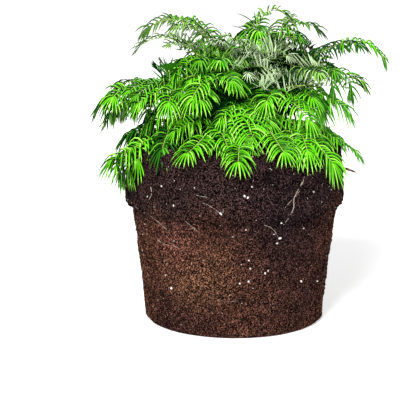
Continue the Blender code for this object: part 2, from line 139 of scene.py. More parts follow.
class PaintNodes:  # lays out a material's nodes, with every pattern in Object coordinates
    def __init__(self, mat):
        self.nodes, self.links = mat.node_tree.nodes, mat.node_tree.links
        self.shader = self.nodes["Principled BSDF"]
        self.where = self.nodes.new("ShaderNodeTexCoord").outputs["Object"]

    def fill(self, node, inputs):
        for key, value in inputs.items():
            if isinstance(value, bpy.types.NodeSocket):
                self.links.new(value, node.inputs[key])
            else:
                node.inputs[key].default_value = value

    def grain(self, scale, detail=2, roughness=0.5, where=None):
        node = self.nodes.new("ShaderNodeTexNoise")
        where = self.where if where is None else where
        self.fill(node, {"Vector": where, "Scale": scale, "Detail": detail, "Roughness": roughness})
        return node.outputs["Fac"]

    def ramp(self, source, stops, gain=1.0):
        node = self.nodes.new("ShaderNodeValToRGB")
        while len(node.color_ramp.elements) < len(stops):
            node.color_ramp.elements.new(0.5)
        for element, (place, colour) in zip(node.color_ramp.elements, stops):
            element.position = place
            element.color = (*[c * gain for c in colour], 1)
        self.fill(node, {"Fac": source})
        return node.outputs["Color"]

    def blend(self, fac, a, b, how="MIX"):
        node = self.nodes.new("ShaderNodeMix")
        node.data_type = "RGBA"
        node.blend_type = how
        self.fill(node, {0: fac, 6: a, 7: (*b, 1) if isinstance(b, tuple) else b})
        return node.outputs[2]

    def ranged(self, source, low, high):
        node = self.nodes.new("ShaderNodeMapRange")
        self.fill(node, {"Value": source, "From Min": low, "From Max": high})
        return node.outputs["Result"]

    def near(self, middle, size, full=0.2):  # 0 outside the size, 1 within this share of it
        node = self.nodes.new("ShaderNodeVectorMath")
        node.operation = "DISTANCE"
        self.fill(node, {0: self.where, 1: middle})
        return self.ranged(node.outputs["Value"], size, size * full)

    def bump(self, source, strength, distance):
        node = self.nodes.new("ShaderNodeBump")
        self.fill(node, {"Height": source, "Strength": strength, "Distance": distance})
        self.fill(self.shader, {"Normal": node.outputs["Normal"]})


def mottledPaint(name, look):
    mat = paint(name, look["colour"], look["roughness"], look["specular"])
    make = PaintNodes(mat)
    make.fill(make.shader, {"Base Color": make.ramp(make.grain(look["scale"]), look["stops"])})
    return mat


def makeSky(spec):
    world = bpy.data.worlds.new("studio")
    world.use_nodes = True
    nodes, links = world.node_tree.nodes, world.node_tree.links
    mix = nodes.new("ShaderNodeMixShader")
    links.new(nodes.new("ShaderNodeLightPath").outputs["Is Camera Ray"], mix.inputs["Fac"])
    lighting, seen = nodes["Background"], nodes.new("ShaderNodeBackground")
    for node, strength, place in ((lighting, spec["skyLight"], 1), (seen, spec["skySeen"], 2)):
        node.inputs["Strength"].default_value = strength
        node.inputs["Color"].default_value = white
        links.new(node.outputs["Background"], mix.inputs[place])
    links.new(mix.outputs["Shader"], nodes["World Output"].inputs["Surface"])
    bpy.context.scene.world = world


def makeStudio(spec):
    floorMesh = bpy.data.meshes.new("floor")
    shape = bmesh.new()
    bmesh.ops.create_grid(shape, x_segments=1, y_segments=1, size=spec["floorSize"] / 2)
    shape.to_mesh(floorMesh)
    shape.free()
    floor = addObject("floor", floorMesh)
    floorMat = paint("studioFloor", spec["floorColour"], roughness=0.9, specular=0.1)
    shader = floorMat.node_tree.nodes["Principled BSDF"]
    shader.inputs["Emission Color"].default_value = white
    shader.inputs["Emission Strength"].default_value = spec["floorGlow"]
    floorMesh.materials.append(floorMat)
    floor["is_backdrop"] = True
    makeSky(spec)
    sunLight("keyLight", spec["keyPlace"], spec["keyWidth"], spec["keyStrength"])
    for name, (place, size, power) in spec["squareLights"].items():
        areaLight(name, place, size, power, spec["aim"])
    bpy.context.scene.view_settings.view_transform = "Standard"


makeStudio(studio)
print("studio lit")


def newPiece(name, mesh, mats, replaced=()):
    obj = addObject(name, mesh)
    for mat in mats:
        mesh.materials.append(mat)
    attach(obj, "root")
    if replaced:
        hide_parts(*replaced)


# the growing rule, as the solids have it
soil = {
    "crown": 0.240,
    "edge": 0.232,
    "flatRadius": 0.032,
    "topRadius": 0.137,
    "radius": 0.140,
    "clear": 0.0016,
    "sunk": Vector((0, 0, 0.002)),  # how far a twig may dip into it
}
trunk = {
    "foot": Vector((0.010, 0.005, soil["crown"] + 0.0003)),
    "lean": Vector((0.006, 0.003, 0)),
    "profile": [(0, 0.0155), (0.004, 0.0118), (0.012, 0.0098), (0.034, 0.0086), (0.070, 0.0058)],
    "height": 0.070,
}
limb = {
    "gap": 0.0003,
    "rootRadius": 0.0028,
    "tipRadius": 0.0018,
    "rooted": 0.5,
    "share": 0.30,
    "steps": 4,
    "leave": 0.48,  # pull of the curve's two ends, of its span
    "arrive": 0.36,
}
shootRule = {
    "pitch": 0.0062,
    "stemRadius": 0.0015,
    "twigRadius": 0.0011,
    "tipRadius": 0.0006,
    "clearance": 0.0040,
    "places": (0.10, 0.30, 0.48, 0.66),
    "angle": (38, 58),
    "length": (0.62, 0.80),
    "shortest": 0.026,
    "nod": (26, 46),
    "scatter": 0.05,  # of the places
    "follow": 0.7,  # how much of the stem's rise a side shoot takes
    "lift": (-4, 14),
    "roll": (-14, 14),
    "needle": 0.95,  # size of its needles against the stem's
    "tries": 6,
    "joint": 2.5,  # length at a side shoot's root that may touch its own mass, of the clearance
    "seed": 11,
}
massKeys = ("kind", "bearing", "reach", "height", "lift", "nod", "spring", "sides", "roll")
massRows = {  # in the order of massKeys, where kind tells its look and height is the tip's
    "crown": ("upper", 3, 0.053, 0.393, 98, -36, 0.066, 1, 8),
    "top_left": ("crest", 175, 0.118, 0.375, 58, -38, 0.057, 3, 24),
    "upper_left": ("upper", 184, 0.130, 0.353, 46, -38, 0.046, 2, 14),
    "high_left": ("side", -150, 0.096, 0.326, 64, -50, 0.049, 3, 0),
    "high_front": ("front", -124, 0.112, 0.302, 60, -46, 0.0425, 3, 0),
    "heart_front": ("inner", -84, 0.054, 0.326, 74, -60, 0.052, 3, 0),
    "heart_right": ("inner", -40, 0.070, 0.346, 74, -42, 0.054, 3, 0),
    "top_right": ("crest", 13, 0.094, 0.374, 66, -26, 0.056, 3, -8),
    "far_right": ("side", -2, 0.176, 0.339, 26, -58, 0.050, 0, 10),
    "right_middle": ("crest", -13, 0.150, 0.312, 36, -32, 0.040, 3, 0),
    "right_low": ("rim", -18, 0.130, 0.282, 30, -36, 0.029, 2, 0),
    "rim_right": ("rim", -22, 0.150, 0.228, 2, -26, 0.019, 3, -14),
    "rim_front_right": ("rim", -46, 0.154, 0.224, 14, -44, 0.012, 2, 0),
    "front_right": ("front", -51, 0.126, 0.274, 44, -36, 0.034, 3, 0),
    "front_low_right": ("front", -72, 0.152, 0.243, 18, -16, 0.020, 2, 0),
    "front_centre": ("front", -86, 0.108, 0.256, 38, -44, 0.030, 3, 0),
    "front_low": ("front", -93, 0.160, 0.234, 16, -12, 0.012, 2, 0),
    "front_left": ("front", -116, 0.156, 0.241, 18, -10, 0.019, 2, 0),
    "left_shoulder": ("front", -153, 0.144, 0.290, 38, -28, 0.040, 3, 0),
    "rim_left": ("rim", -153, 0.180, 0.222, 14, -22, 0.013, 3, 0),
    "low_left": ("rim", -165, 0.123, 0.260, 26, -44, 0.025, 3, 0),
    "far_left": ("side", 180, 0.180, 0.277, 22, -44, 0.035, 4, 0),
    "back_left": ("back", 150, 0.118, 0.318, 50, -14, 0.038, 4, 0),
    "rim_back_left": ("back", 167, 0.180, 0.248, 22, -50, 0.018, 3, 0),
    "high_back": ("back", 108, 0.094, 0.322, 64, -30, 0.055, 4, 0),
    "back": ("back", 78, 0.138, 0.276, 38, -50, 0.033, 4, 0),
    "rim_back": ("back", 106, 0.140, 0.228, 16, -54, 0.016, 4, 0),
    "back_right": ("back", 44, 0.132, 0.318, 48, -44, 0.047, 4, 0),
}
masses = {name: dict(zip(massKeys, row)) for name, row in massRows.items()}


def heading(bearing, lift):
    b, e = math.radians(bearing), math.radians(lift)
    return Vector((math.cos(b) * math.cos(e), math.sin(b) * math.cos(e), math.sin(e)))


def soilHeight(x, y):
    share = (math.hypot(x, y) - soil["flatRadius"]) / (soil["topRadius"] - soil["flatRadius"])
    share = min(max(share, 0), 1)
    return soil["crown"] - (soil["crown"] - soil["edge"]) * share * share


def insideBall(point):
    if point.z > soilHeight(point.x, point.y) + soil["clear"]:
        return False
    return math.hypot(point.x, point.y) < soil["radius"] + soil["clear"]


def trunkPoint(height):
    share = height / trunk["height"]
    return trunk["foot"] + Vector((0, 0, height)) + trunk["lean"] * share * share


def trunkRadius(height):
    for (low, rLow), (high, rHigh) in zip(trunk["profile"], trunk["profile"][1:]):
        if height <= high:
            return rLow + (rHigh - rLow) * (height - low) / (high - low)
    return trunk["profile"][-1][1]


def limbCurve(spec, steps=48):
    outward = heading(spec["bearing"], 0)
    sideways = trunkRadius(spec["spring"]) * limb["rooted"] * math.cos(math.radians(spec["lift"]))
    start = trunkPoint(spec["spring"]) + outward * sideways
    level = outward * spec["reach"]
    tip = Vector((trunk["foot"].x + level.x, trunk["foot"].y + level.y, spec["height"]))
    span = (tip - start).length
    leave = start + heading(spec["bearing"], spec["lift"]) * span * limb["leave"]
    arrive = tip - heading(spec["bearing"], spec["nod"]) * span * limb["arrive"]
    points = []
    for i in range(steps + 1):
        t = i / steps
        s = 1 - t
        points.append(start * s**3 + leave * 3 * s * s * t + arrive * 3 * s * t * t + tip * t**3)
    return points


def lengthsAlong(points):
    total = [0.0]
    for a, b in zip(points, points[1:]):
        total.append(total[-1] + (b - a).length)
    return total


def pointAt(points, total, distance):
    for i in range(1, len(points)):
        if distance <= total[i] or i == len(points) - 1:
            share = (distance - total[i - 1]) / (total[i] - total[i - 1])
            return points[i - 1].lerp(points[i], share)
    return points[-1]


def stretchOf(points, start, end, steps):
    total = lengthsAlong(points)
    return [pointAt(points, total, start + (end - start) * i / steps) for i in range(steps + 1)]


def evenPath(points, count):
    return [tuple(p) for p in stretchOf(points, 0, lengthsAlong(points)[-1], count - 1)]


def bySteps(points, start, end, pitch):
    return stretchOf(points, start, end, max(3, round((end - start) / pitch)))


def nodding(root, bearing, lift, nod, length, steps=12):
    points = [root.copy()]
    for i in range(steps):
        share = (i + 0.5) / steps
        points.append(points[-1] + heading(bearing, lift - nod * share) * (length / steps))
    return points


class Shoot:
    def __init__(self, points, bearing, roll, radius, order, needle=1.0):
        self.points = points
        self.bearing = bearing
        self.side = heading(bearing + 90, 0)
        self.roll = math.radians(roll)
        self.radius = radius
        self.order = order  # 0 stem, 1 side shoot, 2 finer twig, 3 twig inside the crown
        self.needle = needle  # length of its needles against the usual
        self.look = None  # kind and tone, where they aren't the mass's own
        self.tone = None

    def along(self, i):
        before = self.points[max(i - 1, 0)]
        after = self.points[min(i + 1, len(self.points) - 1)]
        return (after - before).normalized()


def jointOf(shoot, place):  # the point at this share of the shoot and how steeply it rises there
    joint = round(place * (len(shoot.points) - 1))
    return joint, math.degrees(math.asin(max(-1, min(1, shoot.along(joint).z))))


def dips(shoot):
    return any(insideBall(p - soil["sunk"]) for p in shoot.points)


def tooClose(points, others, clearance):
    mine = np.array([tuple(p) for p in points])
    gaps = np.linalg.norm(mine[:, None, :] - others[None, :, :], axis=2)
    return bool((gaps < clearance).any())


def shootIsClear(shoot, plan, plans):
    if dips(shoot):
        return False
    root = shoot.points[0]
    joint = shootRule["joint"] * shootRule["clearance"]
    beyond = [p for p in shoot.points if (p - root).length > joint]
    for other in plans.values():
        for line in [s.points for s in other["shoots"]] + [other["bough"]]:
            mine = beyond if other is plan else shoot.points
            if tooClose(mine, np.array([tuple(p) for p in line]), shootRule["clearance"]):
                return False
    return True


def sideShoot(spec, stem, stemLength, place, hand, dice):
    place += dice.uniform(-shootRule["scatter"], shootRule["scatter"])
    joint, rise = jointOf(stem, place)
    bearing = spec["bearing"] + hand * dice.uniform(*shootRule["angle"])
    lift = rise * shootRule["follow"] + dice.uniform(*shootRule["lift"])
    length = stemLength * (1 - place) * dice.uniform(*shootRule["length"])
    nod = dice.uniform(*shootRule["nod"])
    roll = dice.uniform(*shootRule["roll"])
    if length < shootRule["shortest"]:
        return None
    curve = nodding(stem.points[joint], bearing, lift, nod, length)
    points = bySteps(curve, 0, length, shootRule["pitch"])
    return Shoot(points, bearing, roll, shootRule["twigRadius"], 1, shootRule["needle"])


def planLimbs():
    plans = {}
    for number, (name, spec) in enumerate(masses.items()):
        curve = limbCurve(spec)
        whole = lengthsAlong(curve)[-1]
        fork = whole * limb["share"]
        points = bySteps(curve, fork + limb["gap"], whole, shootRule["pitch"])
        stem = Shoot(points, spec["bearing"], spec["roll"], shootRule["stemRadius"], 0)
        plans[name] = dict(
            spec=spec,
            kind=spec["kind"],
            bough=stretchOf(curve, 0, fork, limb["steps"]),
            shoots=[stem],
            dice=random.Random(shootRule["seed"] + number),
        )
    for name, plan in plans.items():
        spec, stem, dice = plan["spec"], plan["shoots"][0], plan["dice"]
        stemLength = lengthsAlong(stem.points)[-1]
        for number in range(spec["sides"]):
            hand = 1 if (number + len(name)) % 2 else -1
            for _ in range(shootRule["tries"]):
                place = shootRule["places"][number]
                shoot = sideShoot(spec, stem, stemLength, place, hand, dice)
                if shoot and shootIsClear(shoot, plan, plans):
                    plan["shoots"].append(shoot)
                    break
    return plans


plans = planLimbs()
print("limbs planned:", sum(len(p["shoots"]) for p in plans.values()), "shoots")

fineRule = {
    "angle": (30, 52),
    "length": (0.50, 0.72),
    "shortest": 0.020,
    "boughSteps": 20,
    "innerPlaces": (0.30, 0.46, 0.60, 0.72, 0.84, 0.96),  # along the bough
    "innerLength": (0.034, 0.066),
    "innerTaper": 0.4,  # how much shorter they get along the bough
    "innerLift": (36, 80),
    "innerTurn": (25, 100),
    "radius": 0.0008,
    "follow": 0.8,  # how much of the parent's rise a twig takes
    "lift": (-6, 12),
    "nod": (24, 44),
    "roll": (-18, 18),
    "needle": (0.78, 0.92),
    "seed": 501,
}
kindKeys = ("length", "width", "droop", "rise", "sweep", "pitch", "new", "tipSize", "stemPlaces",
            "sidePlaces")
kindRows = {  # in the order of kindKeys, how the sprays of each kind look
    "front": (0.046, 0.0031, 0.90, 34, (132, 60), 0.0044, 0.044, 0.62, (0.12, 0.36), ()),
    "rim": (0.047, 0.0031, 1.15, 30, (126, 58), 0.0044, 0.056, 0.70, (0.12, 0.40), ()),
    "side": (0.046, 0.0034, 0.95, 30, (104, 54), 0.0056, 0.060, 0.62, (0.16, 0.44), ()),
    "upper": (0.040, 0.0030, 0.60, 34, (82, 44), 0.0060, 0.085, 0.46, (), ()),
    "crest": (0.047, 0.0031, 0.90, 36, (92, 48), 0.0064, 0.085, 0.56, (), ()),
    "inner": (0.040, 0.0021, 0.14, 54, (76, 40), 0.0058, 0.090, 0.42, (0.06, 0.24, 0.42, 0.60),
              (0.20, 0.50)),
    "spike": (0.038, 0.0022, 0.10, 12, (38, 20), 0.0090, 0.090, 0.56, (), ()),
    "back": (0.040, 0.0026, 0.85, 26, (88, 54), 0.0056, 0.052, 0.46, (0.10, 0.36), (0.30,)),
}
kinds = {name: dict(zip(kindKeys, row)) for name, row in kindRows.items()}
kinds["inner"]["lift"] = (16, 54)  # of its finer twigs, which stand up


def fineTwig(parent, place, hand, length, dice, lift=None, turn=None, order=2):
    joint, rise = jointOf(parent, place)
    bearing = parent.bearing + hand * (turn if turn else dice.uniform(*fineRule["angle"]))
    rise = lift if lift else rise * fineRule["follow"] + dice.uniform(*fineRule["lift"])
    curve = nodding(parent.points[joint], bearing, rise, dice.uniform(*fineRule["nod"]), length)
    points = bySteps(curve, 0, length, shootRule["pitch"] / 2)
    roll, size = dice.uniform(*fineRule["roll"]), dice.uniform(*fineRule["needle"])
    return Shoot(points, bearing, roll, fineRule["radius"], order, size)


def growFiner(plans):
    for number, plan in enumerate(plans.values()):
        dice = random.Random(fineRule["seed"] + number)
        kind = kinds[plan["kind"]]
        found = []
        for shoot in plan["shoots"]:
            for i, place in enumerate(kind["sidePlaces"] if shoot.order else kind["stemPlaces"]):
                length = lengthsAlong(shoot.points)[-1] * (1 - place)
                length *= dice.uniform(*fineRule["length"])
                lift = dice.uniform(*kind["lift"]) if "lift" in kind else None
                hand = -1 if (i + number) % 2 else 1
                if length > fineRule["shortest"]:
                    found.append(fineTwig(shoot, place, hand, length, dice, lift))
        line = stretchOf(plan["bough"], 0, lengthsAlong(plan["bough"])[-1], fineRule["boughSteps"])
        bough = Shoot(line, plan["spec"]["bearing"], 0, 0, 0)
        for i, place in enumerate(fineRule["innerPlaces"]):
            length = dice.uniform(*fineRule["innerLength"]) * (1 - fineRule["innerTaper"] * place)
            lift = dice.uniform(*fineRule["innerLift"])
            turn = dice.uniform(*fineRule["innerTurn"])
            hand = -1 if (i + number) % 2 else 1
            found.append(fineTwig(bough, place, hand, length, dice, lift, turn, 3))
        for shoot in found:
            if not dips(shoot):
                plan["shoots"].append(shoot)


extraSeed = 561
# single shoots that stand out: mass, place on its stem, hand, length, lift, turn, look, tone
extraShoots = (
    ("left_shoulder", 0.66, -1, 0.026, 86, 30, "spike", "Deep"),
    ("left_shoulder", 0.59, 1, 0.026, 84, 60, "spike", "Leaf"),
    ("left_shoulder", 0.52, -1, 0.028, 80, 40, "spike", "Ash"),
    ("front_centre", 0.10, 1, 0.024, 82, 30, "spike", "Highlight"),
    ("crown", 0.42, -1, 0.026, 24, 84, "side", "Lime"),
    ("front_right", 0.12, 1, 0.030, 70, 10, "inner", "Ash"),
    ("right_low", 0.62, -1, 0.022, -48, 30, "rim", "Lime"),
    ("rim_left", 0.66, 1, 0.022, -50, 30, "rim", "Lime"),
    ("rim_left", 0.80, 1, 0.024, -64, 24, "rim", "Lime"),
    ("rim_left", 0.86, -1, 0.020, -66, 30, "rim", "Lime"),
    ("rim_left", 0.94, 1, 0.016, -80, 10, "rim", "Lime"),
    ("far_left", 0.90, 1, 0.018, -70, 16, "side", "Lime"),
    ("far_left", 0.66, -1, 0.028, -52, 16, "side", "Fresh"),
    ("right_middle", 0.84, -1, 0.020, -60, 16, "crest", "Fresh"),
    ("far_left", 0.34, 1, 0.040, -36, 40, "side", "Fresh"),
    ("far_left", 0.54, 1, 0.032, -44, 30, "side", "Fresh"),
    ("far_left", 0.76, 1, 0.024, -52, 24, "side", "Lime"),
    ("right_middle", 0.60, -1, 0.022, -50, 30, "rim", "Lime"),
    ("right_middle", 0.36, 1, 0.034, 44, 30, "upper", "Fresh"),
    ("rim_right", 0.62, -1, 0.018, -54, 30, "rim", "Fresh"),
    ("top_right", 0.40, -1, 0.034, 8, 44, "crest", "Pale"),
    ("top_right", 0.56, 1, 0.026, 4, 30, "crest", "Fresh"),
    ("crown", 0.06, 1, 0.032, 46, 160, "upper", "Pale"),
    ("crown", 0.30, -1, 0.034, 10, 74, "side", "Lime"),
    ("far_right", 0.24, -1, 0.030, -10, 20, "crest", "Fresh"),
    ("right_middle", 0.30, -1, 0.026, -70, 20, "crest", "Fresh"),
)
upright = {  # shoots that stand between the boughs
    "places": (0.03, 0.11, 0.20, 0.30, 0.40),
    "length": (0.034, 0.056),
    "lift": (10, 46),
    "turn": (10, 70),
    "seed": 591,
    "Ash": ("front_right", "right_middle", "right_low", "heart_front", "heart_right",
            "back_right", "high_back"),
    "Fresh": ("high_left", "high_front"),
}


def growUpright(plans):
    dice = random.Random(upright["seed"])
    for tone, name in [(tone, name) for tone in ("Ash", "Fresh") for name in upright[tone]]:
        stem = plans[name]["shoots"][0]
        for place in upright["places"]:
            length, lift, turn = (dice.uniform(*upright[key]) for key in ("length", "lift", "turn"))
            shoot = fineTwig(stem, place, dice.choice((-1, 1)), length, dice, lift, turn)
            # about one in three is painted in the darkest tone, painted shade among the pale
            # strokes
            shoot.look, shoot.tone = "inner", dice.choice((tone, tone, "Deep"))
            plans[name]["shoots"].append(shoot)


def growExtras(plans):
    for number, (name, place, hand, length, lift, turn, look, tone) in enumerate(extraShoots):
        dice = random.Random(extraSeed + number)
        shoot = fineTwig(plans[name]["shoots"][0], place, hand, length, dice, lift, turn)
        shoot.look, shoot.tone = look, tone
        plans[name]["shoots"].append(shoot)


# long needles that stand alone: mass, place on its stem, bearing, lift, length, droop
strayNeedles = (
    ("crown", 0.46, 178, 42, 0.038, 0.30),
    ("crown", 0.34, 184, 34, 0.038, 0.30),
    ("crown", 0.44, 160, 80, 0.018, 0.05),
    ("crown", 0.50, 60, 78, 0.018, 0.05),
    ("top_left", 0.70, 150, 44, 0.026, 0.40),
    ("far_right", 0.02, 20, 70, 0.026, 0.10),
)


def strayRow(stem, place, bearing, lift, length, droop):
    joint, _ = jointOf(stem, place)
    out, up = heading(bearing, lift), Vector((0, 0, 1))
    return stem.points[joint], out, stem.along(joint), up, length, droop, False, 0


growFiner(plans)
growExtras(plans)
growUpright(plans)

needleSizes = {  # against the usual, by the number of the shoot in its mass
    "front_centre": {0: 1.32},
    "low_left": {0: 1.1},
    "right_low": {0: 1.1},
    "far_right": {0: 0.74},
    "rim_right": {0: 0.80, 1: 0.42, 3: 0.50},
    "rim_front_right": {1: 0.50},
    "front_low": {1: 0.60, 3: 0.45},
    "front_low_right": {1: 0.70, 2: 0.60, 3: 0.50, 4: 0.50},
    "back_left": {0: 0.66},
    "far_left": {1: 0.72, 5: 0.70},
}
shaded = {"mass": "rim_left", "shoot": 2, "tone": "Leaf"}  # the one that hangs against the ball, painted darker as painted shade
for name, sizes in needleSizes.items():
    for number, size in sizes.items():
        plans[name]["shoots"][number].needle = size
plans[shaded["mass"]]["shoots"][shaded["shoot"]].tone = shaded["tone"]
print("finer twigs grown:", sum(len(p["shoots"]) for p in plans.values()), "shoots")


def netOf(shape):
    shape.verts.index_update()
    places = np.array([tuple(v.co) for v in shape.verts])
    faces = np.array([[v.index for v in f.verts] for f in shape.faces])
    shape.free()
    return places, faces


def tubeTemplate(sides, rings):
    shape = bmesh.new()
    bmesh.ops.create_cone(shape, cap_ends=True, segments=sides, radius1=1, radius2=1, depth=1)
    rails = [e for e in shape.edges if abs(e.verts[0].co.z - e.verts[1].co.z) > 0.5]
    bmesh.ops.subdivide_edges(shape, edges=rails, cuts=rings - 2, use_grid_fill=True)
    bmesh.ops.triangulate(shape, faces=shape.faces)
    bmesh.ops.recalc_face_normals(shape, faces=shape.faces)
    places, faces = netOf(shape)
    ring = np.rint((places[:, 2] + 0.5) * (rings - 1)).astype(int)
    return {"ring": ring, "x": places[:, 0], "y": places[:, 1], "faces": faces}


def layAlong(template, centres, across, normal, halfWidth, halfThick):
    ring = template["ring"]
    verts = centres[:, ring]
    verts = verts + across[:, ring] * (halfWidth[:, ring] * template["x"])[:, :, None]
    verts = verts + normal[:, ring] * (halfThick[:, ring] * template["y"])[:, :, None]
    first = np.arange(len(centres)) * len(ring)
    faces = template["faces"][None, :, :] + first[:, None, None]
    return verts.reshape(-1, 3), faces.reshape(-1, 3)


def unit(vectors):
    return vectors / np.linalg.norm(vectors, axis=-1, keepdims=True)


def layTubes(template, paths, radii, facing):
    along = unit(np.gradient(paths, axis=1))
    across = unit(np.cross(facing, along))
    return layAlong(template, paths, across, np.cross(along, across), radii, radii)


def meshFrom(name, verts, faces, tone=None, smooth=False):
    mesh = bpy.data.meshes.new(name)
    mesh.from_pydata(verts.tolist(), [], faces.tolist())
    if tone is not None:
        mesh.polygons.foreach_set("material_index", np.asarray(tone, dtype=np.int32))
    if smooth:
        mesh.shade_smooth()
    mesh.update()
    return mesh


def newTubes(name, template, lines, radii, facing, mats, tone=None):
    verts, faces = layTubes(template, np.array(lines), np.array(radii), facing)
    if tone is not None:
        tone = np.repeat(tone, len(template["faces"]))
    mesh = meshFrom(name, verts, faces, tone, True)
    newPiece(name, mesh, mats)
    return len(mesh.polygons)


needle = {
    "thick": 0.36,  # of its width
    "top": 0.58,  # width of its flat top against its foot, the flanks fall away to both sides
    "twist": 20,  # degrees, either way
    "oldGaps": 0.72,  # share of the needles that older wood has lost
    "endAngles": (-46, -28, -10, 10, 28, 46),  # of the needles at the shoot's very tip
    "places": (0.0, 0.10, 0.30, 0.55, 0.80, 1.0),
    "widths": (0.45, 0.86, 1.0, 0.96, 0.66, 0.05),
    "forward": 0.04,
    "bendPower": 2.2,
    "spread": 10,  # scatter of the needles' angles, in degrees
    "sweepPower": 1.3,
    "lengths": (0.88, 1.08),
    "endLengths": (0.70, 0.90),
    "oldLength": 0.85,
    "droops": (0.75, 1.25),
    "endDroop": 0.7,
    "foot": 0.0004,  # from the twig's middle
    "feeler": 0.012,  # a needle that meets the soil within this is left out
    "slimmest": 0.15,  # width of a short needle against its length
    "curl": 0.9,  # how much of its reach a drooping needle loses
    "seed": 900,
}
tones = {
    "Lime": (0.125, 0.560, 0.008),
    "Fresh": (0.110, 0.420, 0.018),
    "Leaf": (0.020, 0.140, 0.004),
    "Deep": (0.002, 0.030, 0.001),
    "Pale": (0.250, 0.530, 0.075),
    "Ash": (0.590, 0.740, 0.440),
    # bright lime, the painted highlight on the tips and on some tops of lime needles
    "Highlight": (0.330, 0.820, 0.075),
    "Frost": (0.800, 0.900, 0.680),
}
toneNumber = {name: i for i, name in enumerate(tones)}
sidesOf = {  # by the tone on top: the flank's painted shade, the underside, and the top of a needle with a painted highlight
    "Lime": ("Leaf", "Leaf", "Highlight"),
    "Fresh": ("Deep", "Pale", "Lime"),
    "Leaf": ("Deep", "Leaf", "Fresh"),
    "Deep": ("Deep", "Deep", "Leaf"),
    "Pale": ("Deep", "Ash", "Ash"),
    "Ash": ("Deep", "Ash", "Frost"),
    "Highlight": ("Leaf", "Leaf", "Frost"),
}
highlightEvery = 5  # one needle in this many of a spray gets a painted highlight on its top
toneChoice = {  # for stems, side shoots, finer twigs and twigs inside the crown; the darker tones of finer and inner twigs are partly their older needles' own green, partly painted shade inside the crown
    "front": (("Lime",), ("Lime",), ("Lime", "Fresh"), ("Leaf", "Deep")),
    "rim": (("Lime",), ("Lime",), ("Lime", "Fresh", "Leaf"), ("Leaf", "Deep")),
    "side": (("Lime", "Fresh"), ("Fresh", "Lime"), ("Fresh", "Leaf"), ("Leaf", "Deep")),
    "upper": (("Pale",), ("Fresh", "Pale"), ("Fresh", "Leaf"), ("Ash", "Leaf")),
    "crest": (("Pale", "Fresh"), ("Pale", "Fresh"), ("Fresh", "Leaf"), ("Ash", "Leaf")),
    "inner": (("Ash",), ("Ash",), ("Ash", "Pale", "Deep"), ("Ash", "Deep")),
    "back": (("Fresh",), ("Pale", "Fresh"), ("Fresh", "Leaf"), ("Leaf", "Deep")),
}


def needleTemplate():
    shape = tubeTemplate(4, len(needle["places"]))
    x, y = shape["x"] - shape["y"], shape["x"] + shape["y"]  # turned to lie on a flat side
    shape["x"] = x * np.where(y > 0, needle["top"], 1)
    shape["y"] = y
    return shape


needleShape = needleTemplate()
needleFaces = needleShape["faces"]
needleTop = (needleShape["y"][needleFaces] > 0).all(axis=1)
needleUnder = (needleShape["y"][needleFaces] < 0).all(axis=1)
needleShadedFlank = needleShape["x"][needleFaces].sum(axis=1) > 0  # the flank that faces away, painted in the darkest tone as painted shade
needleEnd = needleShape["ring"][needleFaces].max(axis=1) == len(needle["places"]) - 1


def needlesOf(shoot, kind, dice):
    length = lengthsAlong(shoot.points)[-1]
    count = max(4, round(length / kind["pitch"]))
    line = stretchOf(shoot.points, 0, length, count)
    first, last = kind["sweep"]
    spread = needle["spread"]
    rows = []
    for i in range(count + 1):
        share = i / count
        along = (line[min(i + 1, count)] - line[max(i - 1, 0)]).normalized()
        side = (shoot.side - along * shoot.side.dot(along)).normalized()
        side = Matrix.Rotation(shoot.roll, 3, along) @ side
        up = along.cross(side).normalized()
        size = kind["tipSize"] + (1 - kind["tipSize"]) * math.cos(0.5 * math.pi * share)
        old = length * (1 - share) > kind["new"] and shoot.order < 3
        for hand in (-1, 1):
            if old and dice.random() < needle["oldGaps"]:
                continue
            sweep = first + (last - first) * share ** needle["sweepPower"]
            sweep = math.radians(sweep + dice.uniform(-1, 1) * spread)
            rise = math.radians(kind["rise"] + dice.uniform(-1, 1) * spread)
            flat = along * math.cos(sweep) + side * hand * math.sin(sweep)
            out = flat * math.cos(rise) + up * math.sin(rise)
            long = kind["length"] * size * dice.uniform(*needle["lengths"]) * shoot.needle
            long *= needle["oldLength"] if old else 1
            root = line[i] + side * hand * needle["foot"]
            twist = math.radians(dice.uniform(-1, 1) * needle["twist"])
            if not insideBall(root + out * needle["feeler"] - soil["sunk"] / 2):
                droop = kind["droop"] * dice.uniform(*needle["droops"])
                rows.append((root, out, along, up, long, droop, old, twist))
    for angle in needle["endAngles"]:
        turn = math.radians(angle)
        out = along * math.cos(turn) + side * math.sin(turn)
        long = kind["length"] * kind["tipSize"] * dice.uniform(*needle["endLengths"])
        droop = kind["droop"] * needle["endDroop"]
        rows.append((line[-1], out, along, up, long * shoot.needle, droop, False, 0))
    return rows


